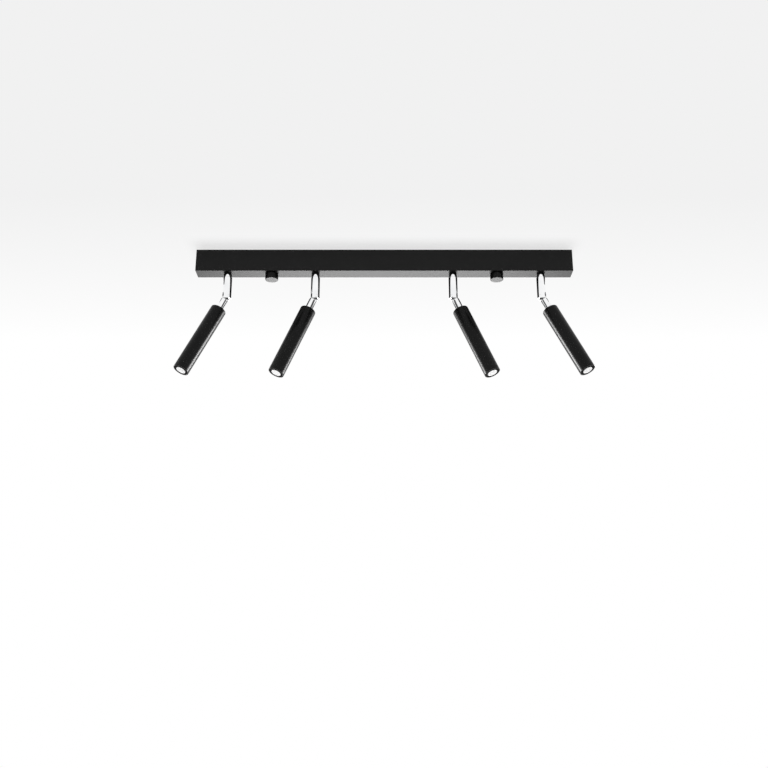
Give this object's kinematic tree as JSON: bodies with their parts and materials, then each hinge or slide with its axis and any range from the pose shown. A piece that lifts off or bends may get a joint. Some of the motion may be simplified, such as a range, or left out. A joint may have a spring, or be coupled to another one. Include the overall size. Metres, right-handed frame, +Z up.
{
  "type": "track lighting fixture",
  "caption": "Straight ceiling bar with slim tube spot lamps, each swivelling on a chromed stem and tilting on a slotted knuckle; thumb nuts hold the canopy up.",
  "frame": {"origin": "centre of the face against the ceiling, midway between the two fixing slots of the ceiling bracket", "axes": "+Z up into the ceiling, +X along the bar, -Y towards the front; the lamps hang below at -Z"},
  "size_m": [0.6908, 0.0618, 0.2366],
  "materials": {
    "black_painted_steel": "satin",
    "zinc_plated_steel": "satin",
    "brass": "satin",
    "black_rubber": "matte",
    "white_plastic": "matte",
    "pad_foam": "matte",
    "black_thumb_nut": "satin",
    "chrome": "polished",
    "black_tube": "satin",
    "black_bezel": "matte",
    "bare_aluminium": "satin",
    "led_board": "matte",
    "frosted_lens": "satin"
  },
  "bodies": {
    "bar": {"canopy": "black_painted_steel", "ceiling_bracket": "zinc_plated_steel", "bracket_studs": "zinc_plated_steel", "stud_lock_nuts": "zinc_plated_steel", "cable_bush": "black_rubber", "led_driver": "white_plastic", "terminal_block": "white_plastic", "terminal_screws": "brass", "adhesive_pads": "pad_foam", "earth_stud": "brass", "earth_nut": "brass", "friction_washers": "white_plastic", "stop_pins": "zinc_plated_steel"},
    "thumb_nut_left": {"thumb_nut_left": "black_thumb_nut"},
    "thumb_nut_right": {"thumb_nut_right": "black_thumb_nut"},
    "stem_1": {"stem_1": "chrome", "stop_washer_1": "zinc_plated_steel", "swivel_nut_1": "zinc_plated_steel", "tilt_screw_1": "chrome"},
    "head_1": {"arm_1": "chrome", "lamp_tube_1": "black_tube", "heat_sink_1": "bare_aluminium", "led_board_1": "led_board", "reflector_1": "bare_aluminium", "lens_1": "frosted_lens", "bezel_1": "black_bezel"},
    "stem_2": {"stem_2": "chrome", "stop_washer_2": "zinc_plated_steel", "swivel_nut_2": "zinc_plated_steel", "tilt_screw_2": "chrome"},
    "head_2": {"arm_2": "chrome", "lamp_tube_2": "black_tube", "heat_sink_2": "bare_aluminium", "led_board_2": "led_board", "reflector_2": "bare_aluminium", "lens_2": "frosted_lens", "bezel_2": "black_bezel"},
    "stem_3": {"stem_3": "chrome", "stop_washer_3": "zinc_plated_steel", "swivel_nut_3": "zinc_plated_steel", "tilt_screw_3": "chrome"},
    "head_3": {"arm_3": "chrome", "lamp_tube_3": "black_tube", "heat_sink_3": "bare_aluminium", "led_board_3": "led_board", "reflector_3": "bare_aluminium", "lens_3": "frosted_lens", "bezel_3": "black_bezel"},
    "stem_4": {"stem_4": "chrome", "stop_washer_4": "zinc_plated_steel", "swivel_nut_4": "zinc_plated_steel", "tilt_screw_4": "chrome"},
    "head_4": {"arm_4": "chrome", "lamp_tube_4": "black_tube", "heat_sink_4": "bare_aluminium", "led_board_4": "led_board", "reflector_4": "bare_aluminium", "lens_4": "frosted_lens", "bezel_4": "black_bezel"}
  },
  "joints": [
    {"name": "thumb_nut_left_turn", "type": "hinge", "parent": "bar", "child": "thumb_nut_left", "pos_m": [-0.1946, 0, -0.0452], "axis": [0, 0, 1], "continuous": true},
    {"name": "thumb_nut_right_turn", "type": "hinge", "parent": "bar", "child": "thumb_nut_right", "pos_m": [0.1946, 0, -0.0452], "axis": [0, 0, 1], "continuous": true},
    {"name": "swivel_1", "type": "hinge", "parent": "bar", "child": "stem_1", "pos_m": [-0.2705, 0, -0.0396], "axis": [0, 0, 1], "range_deg": [-178.8, 121.2]},
    {"name": "tilt_1", "type": "hinge", "parent": "stem_1", "child": "head_1", "pos_m": [-0.2705, 0, -0.0824], "axis": [-0.4818, 0.8763, 0], "range_deg": [-26, 64]},
    {"name": "swivel_2", "type": "hinge", "parent": "bar", "child": "stem_2", "pos_m": [-0.1187, 0, -0.0396], "axis": [0, 0, 1], "range_deg": [-176.2, 123.8]},
    {"name": "tilt_2", "type": "hinge", "parent": "stem_2", "child": "head_2", "pos_m": [-0.1187, 0, -0.0824], "axis": [-0.4415, 0.8973, 0], "range_deg": [-23.8, 66.2]},
    {"name": "swivel_3", "type": "hinge", "parent": "bar", "child": "stem_3", "pos_m": [0.1187, 0, -0.0396], "axis": [0, 0, 1], "range_deg": [-123.8, 176.2]},
    {"name": "tilt_3", "type": "hinge", "parent": "stem_3", "child": "head_3", "pos_m": [0.1187, 0, -0.0824], "axis": [-0.4415, -0.8973, 0], "range_deg": [-23.8, 66.2]},
    {"name": "swivel_4", "type": "hinge", "parent": "bar", "child": "stem_4", "pos_m": [0.2705, 0, -0.0396], "axis": [0, 0, 1], "range_deg": [-121.2, 178.8]},
    {"name": "tilt_4", "type": "hinge", "parent": "stem_4", "child": "head_4", "pos_m": [0.2705, 0, -0.0824], "axis": [-0.4818, -0.8763, 0], "range_deg": [-26, 64]}
  ]
}
